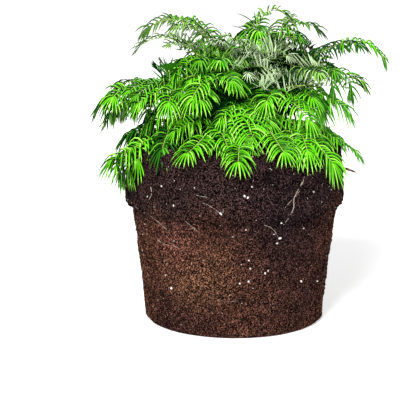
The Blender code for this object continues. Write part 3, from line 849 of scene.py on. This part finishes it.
def layNeedles(rows, kind, choice):
    *vectors, long, hang, old, twist = (np.array(column) for column in zip(*rows))
    root, out, along, up = vectors
    s = np.array(needle["places"])[None, :, None]
    bend = np.array((0, 0, -1.0))[None, :] * hang[:, None] + along * needle["forward"]
    power = needle["bendPower"]
    line = out[:, None, :] * s + bend[:, None, :] * s**power
    tangent = unit(out[:, None, :] + power * bend[:, None, :] * s ** (power - 1))
    reach = long / np.sqrt(1 + needle["curl"] * hang * hang)
    centres = root[:, None, :] + line * reach[:, None, None]
    level = unit(np.cross(up[:, None, :], tangent))
    facing = np.cross(tangent, level)
    twist = twist[:, None, None]
    across = level * np.cos(twist) + facing * np.sin(twist)
    normal = facing * np.cos(twist) - level * np.sin(twist)
    width = np.minimum(kind["width"], long * needle["slimmest"])
    half = width[:, None] / 2 * np.array(needle["widths"])[None, :]
    verts, faces = layAlong(needleShape, centres, across, normal, half, half * needle["thick"])
    flank, under, highlight = sidesOf[choice]
    # the flanks are painted darker than the top, painted shade along each needle
    colour = np.full((len(rows), len(needleFaces)), toneNumber[flank])
    colour[:, needleShadedFlank] = toneNumber["Deep"]
    colour[:, needleTop] = toneNumber[choice]
    # every so many needles have their top painted in a brighter tone, a painted highlight
    colour[::highlightEvery, needleTop] = toneNumber[highlight]
    # the tips of lime needles take the painted highlight
    if choice == "Lime":
        colour[:, needleTop & needleEnd] = toneNumber["Highlight"]
    colour[:, needleUnder] = toneNumber[under]
    # older needles: a darker green top of their own, with flanks and underside in the darkest tone
    # as painted shade
    oldWithShade = np.where(needleTop, toneNumber["Leaf"], toneNumber["Deep"])
    colour = np.where(old[:, None], oldWithShade[None, :], colour)
    return verts, faces, colour.reshape(-1)


def makeNeedles(plans, mats):
    total = 0
    for number, (name, plan) in enumerate(plans.items()):
        dice = random.Random(needle["seed"] + number)
        verts, faces, tone = [], [], []
        start = 0
        for shoot in plan["shoots"]:
            choice = shoot.tone or dice.choice(toneChoice[plan["kind"]][shoot.order])
            kind = kinds[shoot.look or plan["kind"]]
            rows = needlesOf(shoot, kind, dice)
            if not shoot.order:
                rows += [strayRow(shoot, *spec[1:]) for spec in strayNeedles if spec[0] == name]
            v, f, t = layNeedles(rows, kind, choice)
            verts.append(v)
            faces.append(f + start)
            tone.append(t)
            start += len(v)
        whole = [np.concatenate(part) for part in (verts, faces, tone)]
        mesh = meshFrom("foliage_" + name, *whole)
        newPiece("foliage_" + name, mesh, mats, ["needles_" + name])
        total += len(mesh.polygons)
    return total


needleGloss = {"roughness": 0.42, "specular": 0.12, "deepSpecular": 0.02}
toneMats = []
for name, colour in tones.items():
    specular = needleGloss["deepSpecular" if name == "Deep" else "specular"]
    toneMats.append(paint("needles" + name, colour, needleGloss["roughness"], specular))
print("needles laid:", makeNeedles(plans, toneMats), "faces")

twig = {
    "green": (0.400, 0.560, 0.110),
    "brown": (0.130, 0.070, 0.036),
    "roughness": {"green": 0.55, "brown": 0.8},
    "slim": 0.75,  # of the solids' thickness
    "finest": 0.8,  # tip of a finer twig against the others'
    "rings": 10,
    "sides": 5,
}


def makeTwigs(plans):
    template = tubeTemplate(twig["sides"], twig["rings"])
    tones = ("green", "brown")
    mats = [paint("twig" + tone.title(), twig[tone], twig["roughness"][tone]) for tone in tones]
    for name, plan in plans.items():
        paths, radii, facing, tone = [], [], [], []
        for shoot in plan["shoots"]:
            paths.append(evenPath(shoot.points, twig["rings"]))
            tip = shootRule["tipRadius"] * (1 if shoot.order < 2 else twig["finest"])
            radii.append(np.linspace(shoot.radius, tip, twig["rings"]) * twig["slim"])
            facing.append(tuple(shoot.side.cross(shoot.along(0))))
            tone.append(1 if shoot.order == 3 else 0)
        facing = np.array(facing)[:, None, :]
        newTubes("twigs_" + name, template, paths, radii, facing, mats, tone)


makeTwigs(plans)
print("twigs made")

ball = {
    "sides": 480,
    "step": 0.0019,  # between the rows of its skin
    "shoulder": 0.008,
    "shoulderTurns": (20, 40, 60, 80),  # degrees
    "topSteps": 8,
    "footRadius": 0.1135,
    "waistRadius": 0.1298,
    "collarUnder": 0.150,
    "collarLip": ((0, 0.010), (-0.002, 0.004), (-0.006, 0.0005)),  # from its radius and underside
    "waistEdge": (0.001, -0.003),
    "footEdge": 0.003,
    "lumps": (32, 0.0016),  # how fine and how deep, in waves to the metre and in metres
    "crumbs": (125, 0.0009),
    "felt": (400, 0.0008),
    "collarCrumbs": (120, 0.0013),
    "collarFrom": 0.144,  # height above which it is as crumbly as the collar
    "collarBias": 0.8,
    "hollow": (Vector((0.046, -0.127, 0.209)), 0.011, 0.009),  # place, size and depth
    "still": 0.0015,  # the skin below this height isn't moved
}


def ballProfile():
    crown, edge = soil["crown"], soil["edge"]
    inner = soil["topRadius"] - ball["shoulder"]
    points = [(0.0, crown)]
    for i in range(ball["topSteps"] + 1):
        radius = soil["flatRadius"] + (inner - soil["flatRadius"]) * i / ball["topSteps"]
        points.append((radius, soilHeight(radius, 0)))
    for degrees in ball["shoulderTurns"]:
        turn = math.radians(degrees)
        out, down = ball["shoulder"] * math.sin(turn), ball["shoulder"] * (1 - math.cos(turn))
        points.append((inner + out, edge - down))
    under, waist, foot = ball["collarUnder"], ball["waistRadius"], ball["footRadius"]
    points.append((soil["topRadius"], edge - ball["shoulder"]))
    points += [(soil["radius"] + x, under + z) for x, z in ball["collarLip"]]
    points.append((waist + ball["waistEdge"][0], under + ball["waistEdge"][1]))
    points.append(((waist + foot) / 2, under / 2))
    points += [(foot, ball["footEdge"]), (foot - ball["footEdge"], 0.0)]
    return points


def relief(place):
    depth = 0.0
    for key in ("lumps", "crumbs", "felt"):
        fine, deep = ball[key]
        depth += noise.noise(place * fine) * deep
    if place.z > ball["collarFrom"]:
        fine, deep = ball["collarCrumbs"]
        depth += (noise.turbulence(place * fine, 2, True) - ball["collarBias"]) * deep
    middle, size, deep = ball["hollow"]
    away = (place - middle).length / size
    return depth - deep * math.exp(-away * away)


def makeRootBall(mats):
    line = [Vector((r, 0, z)) for r, z in ballProfile()]
    total = lengthsAlong(line)
    rows = stretchOf(line, 0, total[-1], round(total[-1] / ball["step"]))
    rows[0].x = 0
    rows += [Vector((ball["footRadius"] * 0.5, 0, 0)), Vector((0, 0, 0))]
    shape = bmesh.new()
    bmesh.ops.create_grid(shape, x_segments=ball["sides"], y_segments=len(rows) - 1, size=0.5)
    for vert in shape.verts:  # the flat net is rolled up round the axis
        turn = (vert.co.x + 0.5) * math.tau
        row = rows[round((vert.co.y + 0.5) * (len(rows) - 1))]
        vert.co = Vector((row.x * math.cos(turn), row.x * math.sin(turn), row.z))
    bmesh.ops.remove_doubles(shape, verts=shape.verts, dist=0.000001)
    bmesh.ops.recalc_face_normals(shape, faces=shape.faces)
    shape.normal_update()
    moves = [(v, v.normal * relief(v.co)) for v in shape.verts if v.co.z > ball["still"]]
    for vert, move in moves:
        vert.co += move
    mesh = bpy.data.meshes.new("rootBall")
    shape.to_mesh(mesh)
    shape.free()
    mesh.shade_smooth()
    newPiece("rootBallSoil", mesh, mats, ["root_ball"])
    return len(mesh.polygons)


def sideRadius(height):
    points = ballProfile()
    for (r0, z0), (r1, z1) in zip(points, points[1:]):
        if z1 <= height <= z0 and z0 - z1 > 0.0001:
            return r1 + (r0 - r1) * (height - z1) / (z0 - z1)
    return ball["footRadius"]


def onSide(turn, height, lift):
    radius = sideRadius(height)
    place = Vector((radius * math.cos(turn), radius * math.sin(turn), height))
    out = Vector((math.cos(turn), math.sin(turn), 0))
    return place + out * (relief(place) + lift)


def onFront(across, height, lift):
    return onSide(-math.acos(max(-1, min(1, across / sideRadius(height)))), height, lift)


soilLook = {
    "roughness": 0.95,
    "specular": 0.03,
    "patchScale": 16,
    "patches": ((0.30, (0.034, 0.014, 0.010)), (0.46, (0.054, 0.022, 0.014)),
                (0.60, (0.074, 0.031, 0.019)), (0.74, (0.054, 0.018, 0.013))),
    "rust": (0.098, 0.045, 0.025),
    "clay": (0.102, 0.040, 0.028),
    # painted shade under the collar, where the sprays hang over it
    "collarShade": (0.020, 0.011, 0.011),
    "shade": (0.040, 0.017, 0.013),
    # darker soil at the top, partly its own tone, partly painted shade under the sprays
    "collar": (0.026, 0.014, 0.013),
    # near black, a painted shadow in the hollow
    "hollow": (0.004, 0.003, 0.003),
    "lowerAreas": (  # tone, middle and size, each over the ones before; the shade areas are painted shade on the right side and low at the foot
        ("shade", (0.085, -0.080, 0.060), 0.120),
        ("shade", (-0.070, -0.090, 0.020), 0.075),
        ("rust", (-0.050, -0.110, 0.080), 0.062),
        ("clay", (-0.078, -0.105, 0.120), 0.055),
    ),
    "upperAreas": (
        # painted shade under the collar at the right front
        ("collarShade", (0.062, -0.115, 0.158), 0.095),
        # a painted shadow over the hollow's dent
        ("hollow", (0.044, -0.130, 0.208), 0.017),
    ),
    "collarFrom": (0.180, 0.230),  # height where the collar's darker tone starts and is full, partly the soil's own, partly painted shade under the sprays
    "wobble": 0.10,  # how far that height wanders
    "speckScale": 560,
    "specks": ((0.45, (0.01, 0.01, 0.01)), (0.52, (0.30, 0.28, 0.27)), (0.60, (4.30, 4.45, 4.60))),
    "bumpScale": 620,
    "bumpDepth": 0.0020,
}


def soilPaint(name, strength, fineness):
    mat = paint(name, soilLook["collar"], soilLook["roughness"], soilLook["specular"])
    make = PaintNodes(mat)
    patches = make.grain(soilLook["patchScale"], detail=3, roughness=0.6)
    apart = make.nodes.new("ShaderNodeSeparateXYZ")
    make.fill(apart, {"Vector": make.where})
    wobble = make.nodes.new("ShaderNodeMath")
    wobble.operation = "MULTIPLY_ADD"
    make.fill(wobble, {0: patches, 1: soilLook["wobble"], 2: apart.outputs["Z"]})
    body = make.ramp(patches, soilLook["patches"])
    for tone, middle, size in soilLook["lowerAreas"]:
        body = make.blend(make.near(middle, size), body, soilLook[tone])
    height = make.ranged(wobble.outputs["Value"], *soilLook["collarFrom"])
    body = make.blend(height, body, soilLook["collar"])
    for tone, middle, size in soilLook["upperAreas"]:
        body = make.blend(make.near(middle, size), body, soilLook[tone])
    dots = make.grain(soilLook["speckScale"] * fineness, detail=4, roughness=0.72)
    specks = make.ramp(dots, soilLook["specks"], strength)
    make.fill(make.shader, {"Base Color": make.blend(1.0, specks, body, "MULTIPLY")})
    pits = make.grain(soilLook["bumpScale"], detail=4, roughness=0.7)
    make.bump(pits, 1.0, soilLook["bumpDepth"])
    return mat


feltMat = soilPaint("soilFelt", strength=1.0, fineness=1.0)
print("root ball made:", makeRootBall([feltMat]), "faces")

fibres = {
    "count": 4700,
    "steps": 7,
    "length": (0.010, 0.034),
    "radius": (0.00018, 0.00050),
    "radii": (0.5, 0.9, 1.0, 1.0, 1.0, 0.8, 0.35),  # at each step, of its own
    "wander": 0.5,  # how far a strand turns at each step, in radians
    "dip": (0.2, 1.6),  # height of its middle over the skin, of its radius
    "lift": 0.0001,
    "thickRare": 2,  # power, the more the fewer thick ones
    "top": 0.205,
    "lowMore": 1.25,  # power, the more the lower they lie
    "heights": (0.001, 0.225),
    "around": 0.13,  # the ball's radius, near enough
    "tones": {"fibreRust": 1.7, "fibreDark": 0.22, "fibrePale": 3.4},
    "fineness": 1.3,
    "shares": (0, 0, 1, 2),  # the first tone is twice as common
    "seed": 71,
}


def strand(dice, turn, height, way, length, radius):
    points = []
    for _ in range(fibres["steps"]):
        lift = fibres["lift"] + radius * dice.uniform(*fibres["dip"])
        points.append(tuple(onSide(turn, height, lift)))
        way += dice.gauss(0, fibres["wander"])
        step = length / (fibres["steps"] - 1)
        turn += math.cos(way) * step / fibres["around"]
        low, high = fibres["heights"]
        height = min(max(height + math.sin(way) * step, low), high)
    return points


def awayFromAxis(paths):
    return np.array(paths) * (1, 1, 0)


def makeFibres(mats):
    dice = random.Random(fibres["seed"])
    template = tubeTemplate(3, fibres["steps"])
    thin, thick = fibres["radius"]
    paths, radii, tone = [], [], []
    for _ in range(fibres["count"]):
        turn = dice.uniform(-math.pi, math.pi)
        height = fibres["top"] * dice.random() ** fibres["lowMore"]
        length = dice.uniform(*fibres["length"])
        radius = thin + (thick - thin) * dice.random() ** fibres["thickRare"]
        paths.append(strand(dice, turn, height, dice.uniform(0, math.tau), length, radius))
        radii.append(radius * np.array(fibres["radii"]))
        tone.append(dice.choice(fibres["shares"]))
    return newTubes("rootFibres", template, paths, radii, awayFromAxis(paths), mats, tone)


fibreMats = [soilPaint(name, gain, fibres["fineness"]) for name, gain in fibres["tones"].items()]
print("fibres laid:", makeFibres(fibreMats), "faces")

grit = {
    "listed": (  # white grains on the front, as across, height and size in millimetres
        (-92, 193, 3), (-77, 171, 4), (-19, 166, 5), (-51, 196, 3), (10, 188, 4), (14, 186, 4),
        (19, 199, 3), (12, 144, 3), (-4, 135, 3), (54, 130, 6), (51, 124, 4), (47, 136, 3),
        (85, 138, 3), (56, 151, 4), (88, 179, 3), (96, 185, 3), (16, 104, 3), (18, 93, 3),
        (36, 86, 4), (40, 89, 3), (5, 74, 3), (16, 76, 3), (82, 68, 4), (-87, 75, 3), (-80, 59, 4),
        (-109, 176, 4), (105, 60, 3),
    ),
    "listedScale": 2300,  # of the listed sizes to a metre, as half-widths
    "loose": 240,
    "looseSize": (0.0003, 0.0009),
    "looseHeight": (0.004, 0.222),
    "squash": (0.40, 1.0),
    "lift": 0.0001,
    "seed": 83,
}


def blobTemplate(detail):
    shape = bmesh.new()
    bmesh.ops.create_icosphere(shape, subdivisions=detail, radius=1)
    return netOf(shape)


def anySpin(dice):
    axis = Vector((dice.gauss(0, 1), dice.gauss(0, 1), dice.gauss(0, 1)))
    return Matrix.Rotation(dice.uniform(0, math.tau), 3, axis.normalized())


def layShapes(template, spots, rough, seed):
    places, faces = template
    wobble = np.random.default_rng(seed).uniform(1 - rough, 1 + rough, (len(spots), len(places), 1))
    turned = np.einsum("nij,vj->nvi", np.array([m for _, m in spots]), places) * wobble
    verts = turned + np.array([tuple(p) for p, _ in spots])[:, None, :]
    first = np.arange(len(spots)) * len(places)
    return verts.reshape(-1, 3), (faces[None] + first[:, None, None]).reshape(-1, faces.shape[1])


def grain(place, size, dice):
    spin = anySpin(dice)
    flat = [size * dice.uniform(*grit["squash"]) for _ in range(2)]
    return place, np.array(spin @ Matrix.Diagonal((*flat, size)))


def newGrains(name, template, spots, mats, rough, seed):
    newPiece(name, meshFrom(name, *layShapes(template, spots, rough, seed)), mats)


def makeGrit(mats):
    dice = random.Random(grit["seed"])
    big = []
    for across, height, size in grit["listed"]:
        place = onFront(across / 1000, height / 1000, 2 * grit["lift"])
        big.append(grain(place, size / grit["listedScale"], dice))
    small = []
    for _ in range(grit["loose"]):
        turn = dice.uniform(-math.pi, math.pi)
        place = onSide(turn, dice.uniform(*grit["looseHeight"]), grit["lift"])
        small.append(grain(place, dice.uniform(*grit["looseSize"]), dice))
    newGrains("whiteGritLarge", blobTemplate(2), big, mats, rough=0.16, seed=5)
    newGrains("whiteGritSmall", blobTemplate(1), small, mats, rough=0.2, seed=6)


gritLook = {
    "colour": (0.80, 0.76, 0.70),
    "roughness": 0.9,
    "specular": 0.3,
    "scale": 900,
    "stops": ((0.35, (0.45, 0.36, 0.30)), (0.55, (0.86, 0.83, 0.78))),
}
makeGrit([mottledPaint("whiteGrit", gritLook)])
print("grit scattered")

crumbs = {
    "count": 1500,
    "size": (0.0008, 0.0027),
    "onTop": 0.55,  # share of them
    "topRadius": 0.134,
    "underCollar": 0.5,  # share of the rest
    "underHeight": (0.148, 0.158),
    "sideHeight": (0.006, 0.228),
    "lifts": (0.4, 0.3, 0.1),  # on the top, under the collar and on the side, of the size
    "seed": 97,
}
chips = {
    "count": 110,
    "reach": 0.130,
    "rise": 0.0005,
    "length": (0.005, 0.014),
    "width": (0.25, 0.5),  # of its length, as the thickness
    "thick": (0.10, 0.2),
    "lean": (0.5, 0.4),  # in radians, either way
    "edgeCount": 46,  # along the raised edge at the back
    "edgeBearings": (22, 62),
    "edgeReach": (0.112, 0.134),
    "edgeRise": (0.0, 0.005),
    "seed": 98,
}


def topRelief(turn, far):
    x, y = far * math.cos(turn), far * math.sin(turn)
    place = Vector((x, y, soilHeight(x, y)))
    return place + Vector((0, 0, relief(place)))


def makeCrumbs(mats):
    dice = random.Random(crumbs["seed"])
    onTop, underneath, onSkin = crumbs["lifts"]
    spots = []
    for _ in range(crumbs["count"]):
        turn = dice.uniform(-math.pi, math.pi)
        size = dice.uniform(*crumbs["size"])
        if dice.random() < crumbs["onTop"]:
            far = crumbs["topRadius"] * math.sqrt(dice.random())
            place = topRelief(turn, far) + Vector((0, 0, size * onTop))
        elif dice.random() < crumbs["underCollar"]:
            place = onSide(turn, dice.uniform(*crumbs["underHeight"]), size * underneath)
        else:
            place = onSide(turn, dice.uniform(*crumbs["sideHeight"]), size * onSkin)
        spots.append(grain(place, size, dice))
    newGrains("soilCrumbs", blobTemplate(1), spots, mats, rough=0.22, seed=7)


def chipTemplate():
    shape = bmesh.new()
    bmesh.ops.create_cube(shape, size=1)
    return netOf(shape)


def makeChips(mats):
    dice = random.Random(chips["seed"])
    spots = []
    for number in range(chips["count"] + chips["edgeCount"]):
        turn = dice.uniform(-math.pi, math.pi)
        far, rise = chips["reach"] * math.sqrt(dice.random()), chips["rise"]
        if number >= chips["count"]:
            turn = math.radians(dice.uniform(*chips["edgeBearings"]))
            far, rise = dice.uniform(*chips["edgeReach"]), dice.uniform(*chips["edgeRise"])
        place = topRelief(turn, far) + Vector((0, 0, rise))
        tip, roll = (dice.uniform(-most, most) for most in chips["lean"])
        lean = Matrix.Rotation(tip, 3, "X") @ Matrix.Rotation(roll, 3, "Y")
        long = dice.uniform(*chips["length"])
        wide, thick = (long * dice.uniform(*chips[key]) for key in ("width", "thick"))
        spin = Matrix.Rotation(dice.uniform(0, math.tau), 3, "Z")
        spots.append((place, np.array(spin @ lean @ Matrix.Diagonal((long, wide, thick)))))
    newGrains("barkChips", chipTemplate(), spots, mats, rough=0.2, seed=8)


makeCrumbs([soilPaint("soilCrumb", strength=0.7, fineness=0.7)])
makeChips([soilPaint("barkChip", strength=3.4, fineness=0.3)])
print("crumbs and chips scattered")

paleRoots = {
    "lines": (  # across and height in millimetres, then the radius
        (((82, 200), (76, 190), (70, 180), (71, 172), (68, 163), (63, 154), (58, 147)), 0.00040),
        (((78, 189), (73, 183), (66, 177), (60, 170)), 0.00020),
        (((84, 206), (83, 200), (79, 194)), 0.00030),
        (((-106, 190), (-104, 184), (-104, 179), (-107, 173)), 0.00036),
        (((-126, 157), (-116, 154), (-105, 149), (-93, 142), (-81, 133)), 0.00024),
        (((-49, 187), (-42, 186), (-35, 185), (-28, 182)), 0.00022),
        (((-42, 178), (-34, 176), (-26, 171), (-19, 166)), 0.00022),
        (((-66, 156), (-60, 150), (-52, 144), (-44, 138)), 0.00020),
        (((34, 150), (42, 146), (48, 140), (52, 131)), 0.00022),
        (((-98, 120), (-88, 116), (-76, 117), (-66, 112)), 0.00018),
        (((-30, 60), (-22, 52), (-10, 49), (4, 51)), 0.00018),
    ),
    "rings": 12,
    "thinned": 0.6,  # radius at a listed root's end, of its start
    "lift": 0.8,  # of the radius
    "others": 40,  # on the back
    "otherHeight": (0.02, 0.2),
    "otherLength": (0.03, 0.07),
    "otherRadius": (0.0003, 0.0005),
    "otherThinned": 0.5,
    "margin": 0.15,  # from the front half, in radians
    "seed": 59,
}
rootLook = {
    "colour": (0.55, 0.45, 0.36),
    "roughness": 0.6,
    "specular": 0.4,
    "scale": 160,
    "stops": ((0.35, (0.30, 0.21, 0.15)), (0.60, (0.66, 0.57, 0.48))),
}


def makePaleRoots(mats):
    dice = random.Random(paleRoots["seed"])
    rings = paleRoots["rings"]
    roots = []
    for points, radius in paleRoots["lines"]:
        line = [onFront(x / 1000, z / 1000, radius * paleRoots["lift"]) for x, z in points]
        roots.append((line, radius, paleRoots["thinned"]))
    for _ in range(paleRoots["others"]):
        turn = dice.uniform(paleRoots["margin"], math.pi - paleRoots["margin"])
        height, way = dice.uniform(*paleRoots["otherHeight"]), dice.uniform(0, math.tau)
        radius = dice.uniform(*paleRoots["otherRadius"])
        length = dice.uniform(*paleRoots["otherLength"])
        line = [Vector(p) for p in strand(dice, turn, height, way, length, radius)]
        roots.append((line, radius, paleRoots["otherThinned"]))
    paths = [evenPath(line, rings) for line, _, _ in roots]
    radii = [np.linspace(radius, radius * thinned, rings) for _, radius, thinned in roots]
    newTubes("paleRoots", tubeTemplate(6, rings), paths, radii, awayFromAxis(paths), mats)


makePaleRoots([mottledPaint("paleRoot", rootLook)])
print("pale roots laid")

barkLook = {
    "colour": (0.110, 0.058, 0.034),
    "stops": (
        (0.36, (0.030, 0.016, 0.010)),
        (0.50, (0.110, 0.058, 0.034)),
        (0.66, (0.240, 0.150, 0.095)),
    ),
    "grain": (260, 260, 45),  # its fineness across and along
    "bumpStrength": 0.8,
    "bumpDepth": 0.0008,
}


def barkPaint(look):
    mat = paint("bark", look["colour"], roughness=0.9, specular=0.25)
    make = PaintNodes(mat)
    stretch = make.nodes.new("ShaderNodeMapping")
    make.fill(stretch, {"Vector": make.where, "Scale": look["grain"]})
    ridges = make.grain(1, detail=4, where=stretch.outputs["Vector"])
    make.fill(make.shader, {"Base Color": make.ramp(ridges, look["stops"])})
    make.bump(ridges, look["bumpStrength"], look["bumpDepth"])
    return mat


bark = barkPaint(barkLook)
limbLook = {
    "sides": 8,
    "rings": 22,
    "knobs": 0.16,  # swelling and narrowing, of the radius
    "knobScale": 260,
    "trunkRings": 41,
    "ridges": (330, 330, 60),  # how fine the bark's relief is, across and along
    "ridgeBias": 0.4,
}
brokenRoot = {
    "start": ((-0.001, -0.0015), (0.004, -0.0018)),  # from its solid's near upper edge, in x and z
    "end": (-0.0005, 0.0014),  # from the far lower edge
    "radii": (0.0015, 0.0016, 0.0014, 0.0009),
}


def roughTube(name, line, radii, replaced, sides, rings, rough):
    path = np.array([evenPath(line, rings)])
    places = np.linspace(0, 1, rings)
    widths = np.interp(places, np.linspace(0, 1, len(radii)), radii)[None, :]
    upright = abs(path[0, -1, 2] - path[0, 0, 2]) > lengthsAlong(line)[-1] / 2
    facing = np.array((0.0, 1.0, 0.0) if upright else (0.0, 0.0, 1.0))
    verts, faces = layTubes(tubeTemplate(sides, rings), path, widths, facing[None, None, :])
    mesh = meshFrom(name, verts, faces, None, True)
    for vert in mesh.vertices:
        place = vert.co * Vector(limbLook["ridges"])
        vert.co += vert.normal * (noise.turbulence(place, 3, True) - limbLook["ridgeBias"]) * rough
    newPiece(name, mesh, [bark], replaced)


def makeLimbs(plans):
    count = limbLook["trunkRings"]
    heights = [trunk["height"] * i / (count - 1) for i in range(count)]
    line, radii = [trunkPoint(h) for h in heights], [trunkRadius(h) for h in heights]
    roughTube("trunkBark", line, radii, ["trunk"], sides=40, rings=60, rough=0.0016)
    rings = limbLook["rings"]
    paths, radii = [], []
    for plan in plans.values():
        paths.append(evenPath(plan["bough"], rings))
        bumps = [noise.noise(Vector(p) * limbLook["knobScale"]) for p in paths[-1]]
        knobs = np.array([1 + limbLook["knobs"] * bump for bump in bumps])
        radii.append(np.linspace(limb["rootRadius"], limb["tipRadius"], rings) * knobs)
    facing = np.array([tuple(heading(p["spec"]["bearing"] + 90, 0)) for p in plans.values()])
    template = tubeTemplate(limbLook["sides"], rings)
    verts, faces = layTubes(template, np.array(paths), np.array(radii), facing[:, None, :])
    mesh = meshFrom("boughs", verts, faces, None, True)
    newPiece("boughBark", mesh, [bark], ["bough_" + name for name in plans])


def makeBrokenRoot():
    low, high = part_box("broken_root")
    middle = (low.y + high.y) / 2
    line = [Vector((low.x + x, middle, high.z + z)) for x, z in brokenRoot["start"]]
    line.append(Vector((high.x + brokenRoot["end"][0], middle, low.z + brokenRoot["end"][1])))
    radii = brokenRoot["radii"]
    roughTube("brokenRootBark", line, radii, ["broken_root"], sides=12, rings=20, rough=0.0008)


makeLimbs(plans)
makeBrokenRoot()
print("trunk, boughs and broken root made")

sizes = {"cad": [list(c) for c in cadBox], "visual": [list(c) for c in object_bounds()]}
